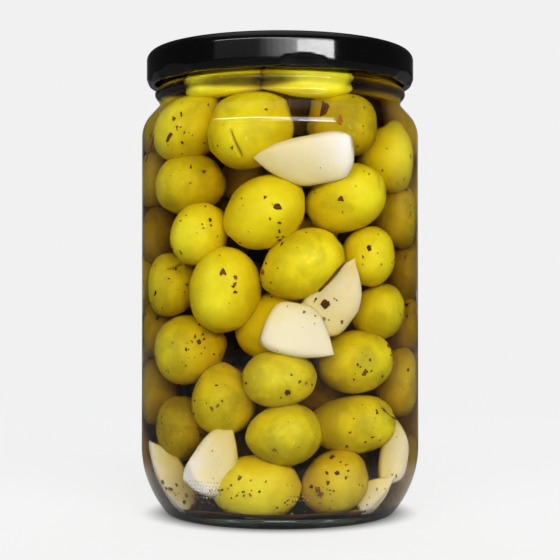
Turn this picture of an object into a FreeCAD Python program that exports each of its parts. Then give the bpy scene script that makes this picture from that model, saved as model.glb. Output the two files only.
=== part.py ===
"""A sealed glass jar of green olives and garlic in oil, closed with a lug cap.

Four pieces, one solid each:
  jar     clear glass vessel: bearing foot, rounded heel, shoulder, groove, bead and lug threads
  lid     sheet-metal lug cap: raised rim channel, sunk panel with a button, curled edge with lugs
  oil     the liquid that fills the glass up to its level, cut round the olives
  olives  the heap of olives and garlic, one solid out to its uneven outline

Millimetres. The origin is on the axis in the plane the foot stands in, +Z is up, and -Y is the front.
An azimuth is an angle round the jar from the front towards +X.
"""

import FreeCAD
import Part
import math
import os
import random

# ---- driving sizes: glass outside -------------------------------------------------------------
body_radius = 44.5
glass_height = 147.75
heel_inset = 8.4  # how far the foot's corner stands inside the body wall
heel_corner_height = 10.1
heel_round = 32.4
foot_round = 2.4
bearing_width = 3.6  # flat ring that the jar stands on, before its corners are rounded
bearing_inner_round = 1.5
punt_height = 2.6  # hollow under the base
punt_run = 10.5
punt_round = 20.0
neck_inset = 6.1  # how far the root of the threads stands inside the body wall
shoulder_corner_below_rim = 23.45
shoulder_round = 9.9
groove_below_rim = 16.55
groove_depth = 0.1  # the groove's corner stands this far inside the neck radius
groove_round = 1.8
bead_below_rim = 12.95
bead_height = 2.9  # how far the bead's corner stands out of the neck
bead_round = 1.7
bead_top_run = 1.7
bead_top_round = 0.6

# ---- driving sizes: glass inside --------------------------------------------------------------
body_wall = 2.2
neck_wall = 2.4
rim_flat = 0.1  # what is left flat on top between the rim's two rounded edges
shoulder_wall = 2.4
heel_wall = 3.5
floor_height = 4.4
floor_dome = 0.8
floor_dome_radius = 20.0
floor_dome_run = 10.0
floor_dome_round = 30.0
inner_heel_round = 18.0
floor_corner_round = 6.0
inner_shoulder_round = 8.0
inner_neck_round = 4.0

# ---- driving sizes: threads and lid -----------------------------------------------------------
lug_count = 6
first_lug_azimuth = 9.8
thread_height = 1.3  # how far a thread stands out of the neck
thread_round = 1.2  # half of its height along the axis
thread_span = 50.0  # degrees
thread_rise = 3.4
thread_lead = 12.0  # degrees of thread on the low side of its lug
thread_over_lug = 0.25  # clearance between a lug and the thread that holds it

sheet = 0.25
lid_corner_round = 3.0
channel_width = 7.2  # raised ring of the lid, from its side wall inwards
panel_drop = 0.9
panel_ramp = 1.2
panel_round = 0.5
button_radius = 14.0
button_drop = 0.45
button_ramp = 2.0
curl_round = 1.3  # outside radius of the rolled edge
curl_inset = 0.45  # how far the roll stands inside the side wall
curl_clearance = 0.3  # between the roll and the threads' crests
curl_drop = 9.7  # from the lid's top to the roll's centre
side_taper_height = 0.9  # the side wall turns in this far above the roll's centre
curl_turn = 265.0  # degrees of roll past its lowest tangent with the wall
lug_half_angle = 9.5
lug_round = 1.0
lug_clearance = 0.5  # between a lug's tip and the neck
lug_below_curl = 0.35

# ---- driving sizes: contents ------------------------------------------------------------------
oil_below_rim = 3.75
film = 0.45  # oil between the heap and the glass, and over the heap's lowest point
olive_length = 24.0
olive_width = 19.0
olive_unevenness = 0.07  # share by which sizes vary
row_spacing = 0.84  # spacing of the heap's rows, as a share of an olive's width
gap_depth = 5.0  # how far the gaps between olives go in from the oil's edge
end_radius = 24.0  # flat middle of the heap's top and bottom
heap_below_oil = 1.2
heap_detail = 3.4  # spacing of the points that shape the heap's outline
place_unevenness = 0.12  # share of the spacing by which olives stand off their places
seed = 11

# ---- worked out -------------------------------------------------------------------------------
foot_radius = body_radius - heel_inset
neck_radius = body_radius - neck_inset
bearing_inner_radius = foot_radius - bearing_width
punt_radius = bearing_inner_radius - punt_run
inner_body_radius = body_radius - body_wall
inner_neck_radius = neck_radius - neck_wall
rim_round = (neck_wall - rim_flat) / 2
shoulder_corner_z = glass_height - shoulder_corner_below_rim
groove_radius = neck_radius - groove_depth
groove_z = glass_height - groove_below_rim
bead_z = glass_height - bead_below_rim
bead_radius = neck_radius + bead_height
lid_top_z = glass_height + sheet
curl_radius = neck_radius + thread_height + curl_clearance + curl_round
lid_radius = curl_radius + curl_round + curl_inset
curl_z = lid_top_z - curl_drop
oil_z = glass_height - oil_below_rim

# ---- construction -----------------------------------------------------------------------------
full_turn = 360.0  # degrees
front = -90.0  # direction of azimuth 0, in degrees from +X
past_rim = 1.0  # how far the cavity's cutter reaches over the rim
joining_tolerance = 1e-5
shortest_edge = 1e-6
sheet_degree = 3  # of the smooth sheet round the heap


def point(r, z):
    return FreeCAD.Vector(r, 0, z)


def towards(a, b):
    return (b - a).normalize()


def rounded_edges(corners, closed):
    """Edges of the line through corners (r, z, round), each corner rounded by a tangent arc."""
    places = [point(r, z) for r, z, _ in corners]
    count = len(corners)
    stretches = []
    for i, (_, _, radius) in enumerate(corners):
        here = places[i]
        at_end = not closed and i in (0, count - 1)
        if radius == 0 or at_end:
            stretches.append((here, None, here))
            continue
        back = towards(here, places[i - 1])
        ahead = towards(here, places[(i + 1) % count])
        half = back.getAngle(ahead) / 2
        start = here + back * (radius / math.tan(half))
        end = here + ahead * (radius / math.tan(half))
        inward = (back + ahead).normalize()
        middle = here + inward * (radius / math.sin(half) - radius)
        stretches.append((start, middle, end))
    edges = []
    for i, (start, middle, end) in enumerate(stretches):
        if middle:
            edges.append(Part.Arc(start, middle, end).toShape())
        following = stretches[(i + 1) % count][0]
        if (closed or i < count - 1) and end.distanceToPoint(following) > shortest_edge:
            edges.append(Part.makeLine(end, following))
    return edges


def turned(corners):
    """Solid of revolution of a closed rounded section."""
    return turned_face(Part.Face(Part.Wire(rounded_edges(corners, closed=True))))


def turned_face(face, start_azimuth=0.0, sweep=full_turn):
    axis = FreeCAD.Vector(0, 0, 1)
    origin = FreeCAD.Vector(0, 0, 0)
    solid = face.revolve(origin, axis, sweep)
    if solid.Volume < 0:
        solid.reverse()
    solid.rotate(origin, axis, start_azimuth + front)
    return solid


def around(shape, azimuth):
    """A copy turned round the jar's axis by an azimuth."""
    copy = shape.copy()
    copy.rotate(FreeCAD.Vector(0, 0, 0), FreeCAD.Vector(0, 0, 1), azimuth)
    return copy


# ---- the glass --------------------------------------------------------------------------------
def outside_corners():
    return [
        (0, punt_height, 0),
        (punt_radius, punt_height, punt_round),
        (bearing_inner_radius, 0, bearing_inner_round),
        (foot_radius, 0, foot_round),
        (body_radius, heel_corner_height, heel_round),
        (body_radius, shoulder_corner_z, shoulder_round),
        (groove_radius, groove_z, groove_round),
        (bead_radius, bead_z, bead_round),
        (neck_radius, bead_z + bead_top_run, bead_top_round),
        (neck_radius, glass_height, rim_round),
        (inner_neck_radius, glass_height, rim_round),
        (inner_neck_radius, bead_z, 0),
        (0, bead_z, 0),
    ]


def cavity_corners(top):
    """The space inside the glass up to a height. Its slopes run beside the outside's, a wall apart."""
    heel_slope = heel_inset / heel_corner_height
    heel_shift = heel_wall * math.hypot(1, heel_slope)
    heel_foot = foot_radius - heel_shift
    shoulder_slope = (body_radius - groove_radius) / (groove_z - shoulder_corner_z)
    shoulder_shift = shoulder_wall * math.hypot(1, shoulder_slope)

    def on_shoulder(r):
        return shoulder_corner_z + (body_radius - shoulder_shift - r) / shoulder_slope

    return [
        (0, floor_height + floor_dome, 0),
        (floor_dome_radius, floor_height + floor_dome, floor_dome_round),
        (floor_dome_radius + floor_dome_run, floor_height, floor_dome_round),
        (heel_foot + heel_slope * floor_height, floor_height, floor_corner_round),
        (inner_body_radius, (inner_body_radius - heel_foot) / heel_slope, inner_heel_round),
        (inner_body_radius, on_shoulder(inner_body_radius), inner_shoulder_round),
        (inner_neck_radius, on_shoulder(inner_neck_radius), inner_neck_round),
        (inner_neck_radius, top, 0),
        (0, top, 0),
    ]


def thread():
    """One lug thread at azimuth 0: a round ridge that climbs the neck, with round ends."""
    crest = neck_radius + thread_height
    spine = crest - thread_round
    pitch = thread_rise * full_turn / thread_span
    helix = Part.makeLongHelix(pitch, thread_rise, spine, 0, False)
    section = Part.Wire(
        Part.makeCircle(
            thread_round, FreeCAD.Vector(spine, 0, 0), FreeCAD.Vector(0, 1, pitch / (2 * math.pi * spine))
        )
    )
    ridge = Part.Wire(helix.Edges).makePipeShell([section], True, True)
    low_end = Part.makeSphere(thread_round, FreeCAD.Vector(spine, 0, 0))
    high_end = around(low_end, thread_span)
    high_end.translate(FreeCAD.Vector(0, 0, thread_rise))
    shape = ridge.fuse([low_end, high_end])
    return around(shape, front)


def lug_azimuths():
    return [first_lug_azimuth + k * full_turn / lug_count for k in range(lug_count)]


def make_jar():
    glass = turned(outside_corners())
    lowest = curl_z - lug_below_curl + lug_round + thread_over_lug + thread_round
    for azimuth in lug_azimuths():
        ridge = around(thread(), azimuth - thread_lead)
        ridge.translate(FreeCAD.Vector(0, 0, lowest))
        glass = glass.fuse(ridge)
    return glass.cut(turned(cavity_corners(glass_height + past_rim)))


# ---- the cap ----------------------------------------------------------------------------------
def make_lid():
    side_corner_z = curl_z + side_taper_height
    channel_radius = lid_radius - channel_width
    panel_z = lid_top_z - panel_drop
    button_z = panel_z - button_drop
    roll_centre = point(curl_radius, curl_z)
    side_foot = point(lid_radius, side_corner_z)
    to_roll = roll_centre - side_foot
    # where the tapered wall meets the roll: the tangent from its upper corner
    reach = math.acos(curl_round / to_roll.Length)
    bearing = math.atan2(-to_roll.z, -to_roll.x)
    meeting = bearing - reach

    def on_roll(angle):
        return point(curl_radius + curl_round * math.cos(angle), curl_z + curl_round * math.sin(angle))

    path = rounded_edges(
        [
            (0, button_z, 0),
            (button_radius, button_z, panel_round),
            (button_radius + button_ramp, panel_z, panel_round),
            (channel_radius - panel_ramp, panel_z, panel_round),
            (channel_radius, lid_top_z, panel_round),
            (lid_radius, lid_top_z, lid_corner_round),
            (lid_radius, side_corner_z, 0),
            (on_roll(meeting).x, on_roll(meeting).z, 0),
        ],
        closed=False,
    )
    turn = math.radians(curl_turn)
    roll = Part.Arc(on_roll(meeting), on_roll(meeting - turn / 2), on_roll(meeting - turn))
    wall = Part.Wire(path + [roll.toShape()])
    section = wall.makeOffset2D(-sheet, 0, True, True)
    return turned_face(section).fuse([lug(azimuth) for azimuth in lug_azimuths()]).removeSplitter()


def lug(azimuth):
    """A stretch of the roll pressed inwards, which hooks under a thread."""
    radius = neck_radius + lug_clearance + lug_round
    height = curl_z - lug_below_curl
    section = Part.Face(Part.Wire(Part.makeCircle(lug_round, point(radius, height), FreeCAD.Vector(0, 1, 0))))
    return turned_face(section, azimuth - lug_half_angle, 2 * lug_half_angle)


# ---- the contents -----------------------------------------------------------------------------
class Room:
    """How far out the heap may reach at each height."""

    def __init__(self):
        self.section = Part.Face(Part.Wire(rounded_edges(cavity_corners(oil_z), closed=True)))

    def radius(self, z):
        across = Part.makeLine(point(0, z), point(2 * body_radius, z))
        return self.section.common(across).Length - film


class Olive:
    """An egg-smooth olive whose long axis leans in the plane that faces the jar's axis."""

    def __init__(self, azimuth, out, z, half_length, half_width, lean):
        self.azimuth = azimuth
        self.out = out
        self.z = z
        self.half_length = half_length
        self.half_width = half_width
        self.long_axis = FreeCAD.Vector(0, math.cos(lean), math.sin(lean))

    def reach_at(self, azimuth, z):
        """How far from the jar's axis a level line at an azimuth leaves the olive, or 0."""
        turn = math.radians(azimuth - self.azimuth)
        along = FreeCAD.Vector(math.cos(turn), math.sin(turn), 0)
        start = FreeCAD.Vector(-self.out, 0, z - self.z)
        thick = 1 / self.half_width**2
        stretch = 1 / self.half_length**2 - thick
        along_axis = along.dot(self.long_axis)
        start_axis = start.dot(self.long_axis)
        a = along_axis**2 * stretch + thick
        b = along_axis * start_axis * stretch + along.dot(start) * thick
        c = start_axis**2 * stretch + start.dot(start) * thick - 1
        left = b * b - a * c
        if left < 0:
            return 0
        return (math.sqrt(left) - b) / a


def make_olives(room, lowest, highest):
    """Rows of olives that touch the glass, each row a half step round from the one below."""
    rng = random.Random(seed)
    olives = []
    half = olive_width / 2
    rows = round((highest - lowest - olive_width) / (olive_width * row_spacing)) + 1
    pitch = (highest - lowest - olive_width) / (rows - 1)
    per_row = round(2 * math.pi * (inner_body_radius - half) / olive_width)
    for row in range(rows):
        for k in range(per_row):
            shift = row / 2 + rng.uniform(-place_unevenness, place_unevenness)
            azimuth = (k + shift) * full_turn / per_row
            z = lowest + half + (row + rng.uniform(-place_unevenness, place_unevenness)) * pitch
            grow = 1 + rng.uniform(-olive_unevenness, olive_unevenness)
            lean = rng.uniform(0, math.pi)
            out = room.radius(min(max(z, lowest), highest)) - half * grow
            olives.append(Olive(azimuth, out, z, olive_length / 2 * grow, half * grow, lean))
    return olives


def make_heap():
    """One solid out to the heap's uneven outline: a smooth closed sheet over rows of olives."""
    room = Room()
    lowest = floor_height + floor_dome + film
    highest = oil_z - heap_below_oil
    olives = make_olives(room, lowest, highest)
    around_count = round(2 * math.pi * body_radius / heap_detail)
    up_count = round((highest - lowest) / heap_detail)
    levels = [lowest + (highest - lowest) * k / up_count for k in range(up_count + 1)]
    poles = []
    for k in range(around_count):
        azimuth = full_turn * k / around_count
        turn = math.radians(azimuth + front)
        column = [(end_radius, lowest)]
        for z in levels:
            limit = room.radius(z)
            reaches = [olive.reach_at(azimuth, z) for olive in olives]
            column.append((min(limit, max(limit - gap_depth, *reaches)), z))
        column.append((end_radius, highest))
        poles.append([FreeCAD.Vector(r * math.cos(turn), r * math.sin(turn), z) for r, z in column])
    inner_knots = len(poles[0]) - sheet_degree - 1
    sheet_surface = Part.BSplineSurface()
    sheet_surface.buildFromPolesMultsKnots(
        poles,
        [1] * (around_count + 1),
        [sheet_degree + 1] + [1] * inner_knots + [sheet_degree + 1],
        [float(k) for k in range(around_count + 1)],
        [float(k) for k in range(inner_knots + 2)],
        True,
        False,
        sheet_degree,
        sheet_degree,
    )
    side = sheet_surface.toShape()
    rims = [edge for edge in side.Edges if edge.BoundBox.ZLength < film]
    ends = [Part.Face(Part.Wire([edge])) for edge in rims]
    heap = Part.Solid(Part.Shell([side] + ends))
    heap.fix(joining_tolerance, joining_tolerance, joining_tolerance)
    return heap


def make_oil(heap):
    return turned(cavity_corners(oil_z)).cut(heap)


# ---- checks and export ------------------------------------------------------------------------
def one_solid(shape, name):
    solids = shape.Solids
    if len(solids) != 1 or not solids[0].isValid():
        raise ValueError(f"{name} has {len(solids)} solids, and needs one valid solid")
    return solids[0]


def main():
    heap = make_heap()
    parts = {
        "jar": make_jar(),
        "lid": make_lid(),
        "oil": make_oil(heap),
        "olives": heap,
    }
    os.makedirs("parts", exist_ok=True)
    for name, shape in parts.items():
        solid = one_solid(shape, name)
        box = solid.optimalBoundingBox(True, False)
        print(f"{name}: {solid.Volume / 1000:.1f} ml, z {box.ZMin:.2f} to {box.ZMax:.2f}, x to {box.XMax:.2f}")
        solid.exportStep(f"parts/{name}.step")


main()
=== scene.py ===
"""Looks of the jar of olives: clear glass, black lid, golden oil, olives, garlic cloves and dried herbs.

Sizes here are millimetres and turn into metres only when a mesh is made. As in part.py, the origin is
on the axis in the plane the foot stands in, +Z is up, -Y is the front, and an azimuth is an angle
round the jar from the front towards +X.
"""

import math
from collections import namedtuple

import bmesh
import bpy
import numpy as np
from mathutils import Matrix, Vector
from mathutils.bvhtree import BVHTree


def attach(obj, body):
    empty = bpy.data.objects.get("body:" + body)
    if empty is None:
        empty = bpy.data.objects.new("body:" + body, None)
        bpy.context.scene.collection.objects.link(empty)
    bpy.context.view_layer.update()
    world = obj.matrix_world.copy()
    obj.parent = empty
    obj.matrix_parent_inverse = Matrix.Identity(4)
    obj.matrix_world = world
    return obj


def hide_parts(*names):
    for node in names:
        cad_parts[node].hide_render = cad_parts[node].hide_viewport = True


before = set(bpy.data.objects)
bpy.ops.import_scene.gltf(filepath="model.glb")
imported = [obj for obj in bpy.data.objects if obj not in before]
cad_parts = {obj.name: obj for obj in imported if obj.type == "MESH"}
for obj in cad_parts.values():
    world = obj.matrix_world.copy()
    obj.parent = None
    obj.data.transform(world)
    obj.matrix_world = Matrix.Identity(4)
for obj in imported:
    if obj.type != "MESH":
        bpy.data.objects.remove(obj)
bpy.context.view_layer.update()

MM = 0.001
rng = np.random.default_rng(23)

# ---- sizes of the glass, as in part.py
body_radius = 44.5
glass_height = 147.75
heel_corner_height = 10.1
foot_radius = 36.1
punt_radius = 22.0
punt_height = 2.6
bearing_inner_radius = 32.5
heel_wall = 3.5
shoulder_wall = 2.4
shoulder_corner_z = 124.3
groove_radius = 38.3
groove_z = 131.2
bead_radius = 41.3
bead_z = 134.8
bead_top_z = 136.5
neck_radius = 38.4
rim_round = 1.15
inner_body_radius = 42.3
inner_neck_radius = 36.0
floor_height = 4.4
floor_dome = 0.8
floor_dome_radius = 20.0
floor_dome_run = 10.0
floor_dome_round = 30.0
oil_level = 144.0
oil_index = 1.47
oil_in_wall = 0.15  # the oil reaches this far into the glass, so that no air gap shows

outside_corners = [  # radius, height and rounding
    (0, punt_height, 0),
    (punt_radius, punt_height, 20.0),
    (bearing_inner_radius, 0, 1.5),
    (foot_radius, 0, 2.4),
    (body_radius, heel_corner_height, 32.4),
    (body_radius, shoulder_corner_z, 9.9),
    (groove_radius, groove_z, 1.8),
    (bead_radius, bead_z, 1.7),
    (neck_radius, bead_top_z, 0.6),
    (neck_radius, glass_height, rim_round),
    (inner_neck_radius, glass_height, rim_round),
]
heel_slope = (body_radius - foot_radius) / heel_corner_height
heel_foot = foot_radius - heel_wall * math.hypot(1, heel_slope)
shoulder_slope = (body_radius - groove_radius) / (groove_z - shoulder_corner_z)
shoulder_start = body_radius - shoulder_wall * math.hypot(1, shoulder_slope)


def on_shoulder(r):
    return shoulder_corner_z + (shoulder_start - r) / shoulder_slope


cavity_corners = [
    (0, floor_height + floor_dome, 0),
    (floor_dome_radius, floor_height + floor_dome, floor_dome_round),
    (floor_dome_radius + floor_dome_run, floor_height, floor_dome_round),
    (heel_foot + heel_slope * floor_height, floor_height, 6.0),
    (inner_body_radius, (inner_body_radius - heel_foot) / heel_slope, 18.0),
    (inner_body_radius, on_shoulder(inner_body_radius), 8.0),
    (inner_neck_radius, on_shoulder(inner_neck_radius), 4.0),
]

# ---- threads and lid, as in part.py
lug_count = 6
first_lug_azimuth = 9.8
thread_spine = 38.5  # radius of the line through a thread's middle
thread_round = 1.2
thread_span = 50.0
thread_rise = 3.4
thread_lead = 12.0
thread_low = 140.4

sheet = 0.25
lid_radius = 43.05
lid_top = 148.0
lid_corner_round = 3.0
panel_drop = 0.9
panel_round = 0.5
panel_ramp = 1.2
button_drop = 0.45
button_radius = 14.0
button_ramp = 2.0
channel_width = 7.2
curl_round = 1.3
curl_radius = 41.3
curl_height = 138.3
curl_turn = 265
side_corner_height = 139.2
lug_depth = 1.08  # how far a lug is pressed in
lug_half_span = 10.5
lug_arch = 3.4  # how high a lug's dent rises

# ---- the camera
eye = Vector((0.0, -445.0, 68.3))
pitch = 0.83  # degrees up from level
lens = 88.3
sensor = 36.0
full_turn = 2 * math.pi


# ---- shapes of revolution
def unit(v):
    return v / np.linalg.norm(v)


def units(rows):
    return rows / np.linalg.norm(rows, axis=1)[:, None]


def rounded_line(corners, arc_step=0.5, run_step=2.0):
    """Points (r, z) along the line through corners (r, z, round), each rounded by a tangent arc."""
    places = np.array([c[:2] for c in corners], float)
    line = [places[0]]
    for i in range(1, len(corners) - 1):
        here = places[i]
        radius = corners[i][2]
        if radius == 0:
            line.append(here)
            continue
        back = unit(places[i - 1] - here)
        ahead = unit(places[i + 1] - here)
        half = math.acos(np.clip(back @ ahead, -1, 1)) / 2
        centre = here + unit(back + ahead) * radius / math.sin(half)
        spoke = here + back * radius / math.tan(half) - centre
        side = math.copysign(1, back[1] * ahead[0] - back[0] * ahead[1])
        sweep = side * (math.pi - 2 * half)
        steps = max(4, math.ceil(radius * abs(sweep) / arc_step))
        for k in range(steps + 1):
            c, s = math.cos(sweep * k / steps), math.sin(sweep * k / steps)
            line.append(centre + np.array([c * spoke[0] - s * spoke[1], s * spoke[0] + c * spoke[1]]))
    line.append(places[-1])
    return filled(line, run_step)


def filled(line, run_step):
    """The same line with points added so that none are further apart than a step."""
    out = [line[0]]
    for a, b in zip(line, line[1:]):
        length = np.linalg.norm(b - a)
        if length < 1e-6:
            continue
        count = math.ceil(length / run_step)
        out.extend(a + (b - a) * k / count for k in range(1, count + 1))
    return np.array(out)


def around(turn):
    """The level direction at an azimuth in radians."""
    return np.array([math.sin(turn), -math.cos(turn), 0])


def lathe(line, count, change=None):
    """Vertices and faces of a line turned round the axis. A line that ends on the axis is closed there."""
    azimuth = np.linspace(0, full_turn, count, endpoint=False)[:, None]
    r = np.repeat(line[None, :, 0], count, axis=0)
    z = np.repeat(line[None, :, 1], count, axis=0)
    if change:
        r, z = change(azimuth, r, z)
    points = np.stack([r * np.sin(azimuth), -r * np.cos(azimuth), z], axis=2)
    first = line[0, 0] < 1e-6
    last = line[-1, 0] < 1e-6
    inner = points[:, int(first) : points.shape[1] - int(last)]
    rows = inner.shape[1]
    verts = inner.reshape(-1, 3)
    k = np.arange(count)
    following = (k + 1) % count
    i = np.arange(rows - 1)
    a = (k[:, None] * rows + i).ravel()
    b = (following[:, None] * rows + i).ravel()
    faces = np.stack([a, b, b + 1, a + 1], axis=1).tolist()
    tips = []
    if first:
        tip = len(verts)
        tips.append(points[0, 0])
        faces += [[tip, following[j] * rows, k[j] * rows] for j in range(count)]
    if last:
        tip = len(verts) + len(tips)
        tips.append(points[0, -1])
        faces += [[tip, k[j] * rows + rows - 1, following[j] * rows + rows - 1] for j in range(count)]
    if tips:
        verts = np.vstack([verts, tips])
    return verts, faces


def ripple(a, b, seed, waves=9, finest=9):
    """A smooth wavy field from about -1 to 1, which repeats after a full turn of the first angle."""
    dice = np.random.default_rng(seed)
    total = 0
    for _ in range(waves):
        m = dice.integers(1, finest)
        n = dice.uniform(-finest, finest)
        total = total + np.cos(m * a + n * b + dice.uniform(0, full_turn))
    return total / math.sqrt(waves)


def waves_in_space(points, seed, length, count=12):
    """A smooth wavy field from about -1 to 1 over places in space."""
    dice = np.random.default_rng(seed)
    directions = units(dice.normal(size=(count, 3)))
    strength = full_turn / (length * dice.uniform(0.7, 1.6, count))
    phase = dice.uniform(0, full_turn, count)
    return np.cos(points @ (directions * strength[:, None]).T + phase).sum(axis=1) / math.sqrt(count)


def smooth(x, low, high):
    """Rises softly from 0 at low to 1 at high."""
    t = np.clip((x - low) / (high - low), 0, 1)
    return t * t * (3 - 2 * t)


# ---- making objects
def add_object(name, data):
    made = bpy.data.objects.new(name, data)
    bpy.context.scene.collection.objects.link(made)
    return made


def add_mesh(name, verts, faces, material, attributes=None, outward=False):
    """A smooth-shaded object from millimetres, with one value for each vertex in each attribute."""
    mesh = bpy.data.meshes.new(name)
    mesh.from_pydata((np.asarray(verts) * MM).tolist(), [], faces)
    for label, values in (attributes or {}).items():
        layer = mesh.attributes.new(label, "FLOAT", "POINT")
        layer.data.foreach_set("value", np.asarray(values, np.float32))
    if outward:
        work = bmesh.new()
        work.from_mesh(mesh)
        bmesh.ops.recalc_face_normals(work, faces=work.faces)
        work.to_mesh(mesh)
        work.free()
    mesh.shade_smooth()
    mesh.materials.append(material)
    return add_object(name, mesh)


class Heap:
    """Collects many small closed shapes into one mesh."""

    def __init__(self):
        self.verts = []
        self.faces = []
        self.values = {}
        self.count = 0

    def add(self, verts, faces, **values):
        self.verts.append(verts)
        self.faces.extend((np.asarray(face) + self.count).tolist() for face in faces)
        self.count += len(verts)
        for label, value in values.items():
            self.values.setdefault(label, []).append(np.broadcast_to(value, len(verts)))

    def object(self, name, material):
        values = {label: np.concatenate(parts) for label, parts in self.values.items()}
        return add_mesh(name, np.vstack(self.verts), self.faces, material, values)


# ---- materials
class Nodes:
    """A node tree, with short calls for the nodes used here."""

    def __init__(self, owner, output="ShaderNodeOutputMaterial"):
        self.owner = owner
        owner.use_nodes = True
        self.tree = owner.node_tree
        self.tree.nodes.clear()
        self.output = self.tree.nodes.new(output)

    def put(self, socket, value):
        if isinstance(value, bpy.types.NodeSocket):
            self.tree.links.new(value, socket)
        else:
            socket.default_value = value

    def add(self, kind, inputs=None, **settings):
        """Adds a node and gives its sockets, by name or number, a value or a link."""
        node = self.tree.nodes.new(kind)
        for key, value in settings.items():
            setattr(node, key, value)
        for key, value in (inputs or {}).items():
            self.put(node.inputs[key], value)
        return node

    def noise(self, scale, detail=3.0, roughness=0.5, distortion=0.0):
        place = self.add("ShaderNodeTexCoord").outputs["Object"]
        inputs = {"Scale": scale, "Detail": detail, "Roughness": roughness, "Distortion": distortion}
        return self.add("ShaderNodeTexNoise", {"Vector": place, **inputs}).outputs["Fac"]

    def value(self, name):
        return self.add("ShaderNodeAttribute", attribute_name=name).outputs["Fac"]

    def math(self, operation, a, b=0.0, c=0.0, clamp=False):
        inputs = dict(enumerate((a, b, c)))
        return self.add("ShaderNodeMath", inputs, operation=operation, use_clamp=clamp).outputs[0]

    def spread(self, value, low, high, to_low=0.0, to_high=1.0):
        """Spreads values between low and high softly over another range."""
        inputs = dict(enumerate((value, low, high, to_low, to_high)))
        return self.add("ShaderNodeMapRange", inputs, interpolation_type="SMOOTHSTEP").outputs[0]

    def mix(self, factor, a, b):
        return self.add("ShaderNodeMix", {0: factor, 6: a, 7: b}, data_type="RGBA").outputs[2]

    def ramp(self, value, *stops):
        """A colour ramp through stops (position, colour), the first at 0 and the last at 1."""
        node = self.add("ShaderNodeValToRGB", {0: value})
        elements = node.color_ramp.elements
        elements[0].color = stops[0][1]
        elements[1].color = stops[-1][1]
        for position, colour in stops[1:-1]:
            elements.new(position).color = colour
        return node.outputs[0]

    def bump(self, height, strength, distance_mm):
        inputs = {"Strength": strength, "Distance": distance_mm * MM, "Height": height}
        return self.add("ShaderNodeBump", inputs).outputs["Normal"]

    def principled(self, **inputs):
        named = {key.replace("_", " "): value for key, value in inputs.items()}
        return self.add("ShaderNodeBsdfPrincipled", named).outputs[0]

    def choose(self, factor, shader, other):
        return self.add("ShaderNodeMixShader", {0: factor, 1: shader, 2: other}).outputs[0]

    def surface(self, shader):
        self.put(self.output.inputs["Surface"], shader)

    def lets_lamps_through(self, shader, tint):
        """Shadow rays pass straight through with a tint, so that lamps reach what is inside."""
        clear = self.add("ShaderNodeBsdfTransparent", {"Color": tint}).outputs[0]
        return self.choose(self.add("ShaderNodeLightPath").outputs["Is Shadow Ray"], shader, clear)


def material_nodes(name):
    return Nodes(bpy.data.materials.new(name))


def glass_material(name="clear_glass", reflects=True, tint=(0.965, 0.98, 0.972, 1)):
    n = material_nodes(name)
    glass = n.principled(
        Base_Color=tint,
        Roughness=n.spread(n.noise(38.0, 4.0, 0.6), 0.52, 0.8, 0.0, 0.035),
        Normal=n.bump(n.noise(90.0, 2.0), 0.05, 0.25),
        IOR=1.5,
        Transmission_Weight=1.0,
        Specular_Tint=(1, 1, 1, 1) if reflects else (0, 0, 0, 1),
    )
    n.surface(n.lets_lamps_through(glass, (0.95, 0.96, 0.95, 1)))
    return n.owner


def oil_material():
    n = material_nodes("golden_oil")
    oil = n.principled(
        Base_Color=(1.0, 0.99, 0.97, 1),
        Roughness=0.0,
        IOR=oil_index,
        Transmission_Weight=1.0,
        Specular_Tint=(0.05, 0.05, 0.05, 1),
    )
    n.surface(n.lets_lamps_through(oil, (1.0, 0.99, 0.95, 1)))
    soak = n.add("ShaderNodeVolumeAbsorption", {"Color": (0.82, 0.7, 0.06, 1), "Density": 110.0})
    n.put(n.output.inputs["Volume"], soak.outputs[0])
    return n.owner


def lacquer_material():
    n = material_nodes("black_lacquer")
    peel = n.noise(900.0, 2.0)
    grime = n.noise(160.0, 6.0, 0.7)
    specks = n.spread(n.noise(2600.0, 1.0), 0.74, 0.8)
    lacquer = n.principled(
        Base_Color=n.mix(specks, (0.0022, 0.0022, 0.0026, 1), (0.03, 0.03, 0.03, 1)),
        Roughness=n.spread(grime, 0.45, 0.75, 0.1, 0.16),
        Normal=n.bump(peel, 0.06, 0.12),
        IOR=1.44,
        Coat_Normal=n.bump(peel, 0.03, 0.1),
        Coat_Weight=0.25,
        Coat_Roughness=0.04,
    )
    n.surface(lacquer)
    return n.owner


def olive_material():
    n = material_nodes("olive_skin")
    blotches = n.noise(110.0, 3.0, 0.55, 0.4)
    pores = n.noise(900.0, 2.0)
    dots = n.spread(n.noise(640.0, 1.0), 0.66, 0.74)
    streaks = n.noise(260.0, 4.0, 0.6)
    # the tone sets an olive's brightness: it differs at random, and is lowered for the inner rings as
    # painted shade
    green = n.ramp(
        n.math("ADD", n.value("tone"), n.spread(blotches, 0.3, 0.7, -0.14, 0.14)),
        (0.0, (0.15, 0.14, 0.012, 1)),
        (0.35, (0.44, 0.38, 0.009, 1)),
        (0.68, (0.81, 0.69, 0.01, 1)),
        (1.0, (0.96, 0.86, 0.03, 1)),
    )
    warm = n.mix(n.math("MULTIPLY", n.value("amber"), 0.85), green, (0.42, 0.2, 0.02, 1))
    pale_dots = n.mix(n.math("MULTIPLY", dots, 0.22), warm, (0.88, 0.8, 0.3, 1))
    bruised = n.mix(n.spread(streaks, 0.64, 0.82, 0.0, 0.14), pale_dots, (0.3, 0.2, 0.02, 1))
    height = n.math("ADD", n.math("MULTIPLY", pores, 0.35), n.math("MULTIPLY", streaks, 0.65))
    skin = n.principled(
        Base_Color=n.mix(n.value("mark"), bruised, (0.2, 0.1, 0.02, 1)),
        Roughness=n.spread(blotches, 0.3, 0.7, 0.34, 0.5),
        Normal=n.bump(height, 0.35, 0.35),
        Specular_IOR_Level=0.15,
        Subsurface_Weight=0.35,
        Subsurface_Radius=(0.85, 0.65, 0.12),
        Subsurface_Scale=0.0035,
    )
    n.surface(skin)
    return n.owner


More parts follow.
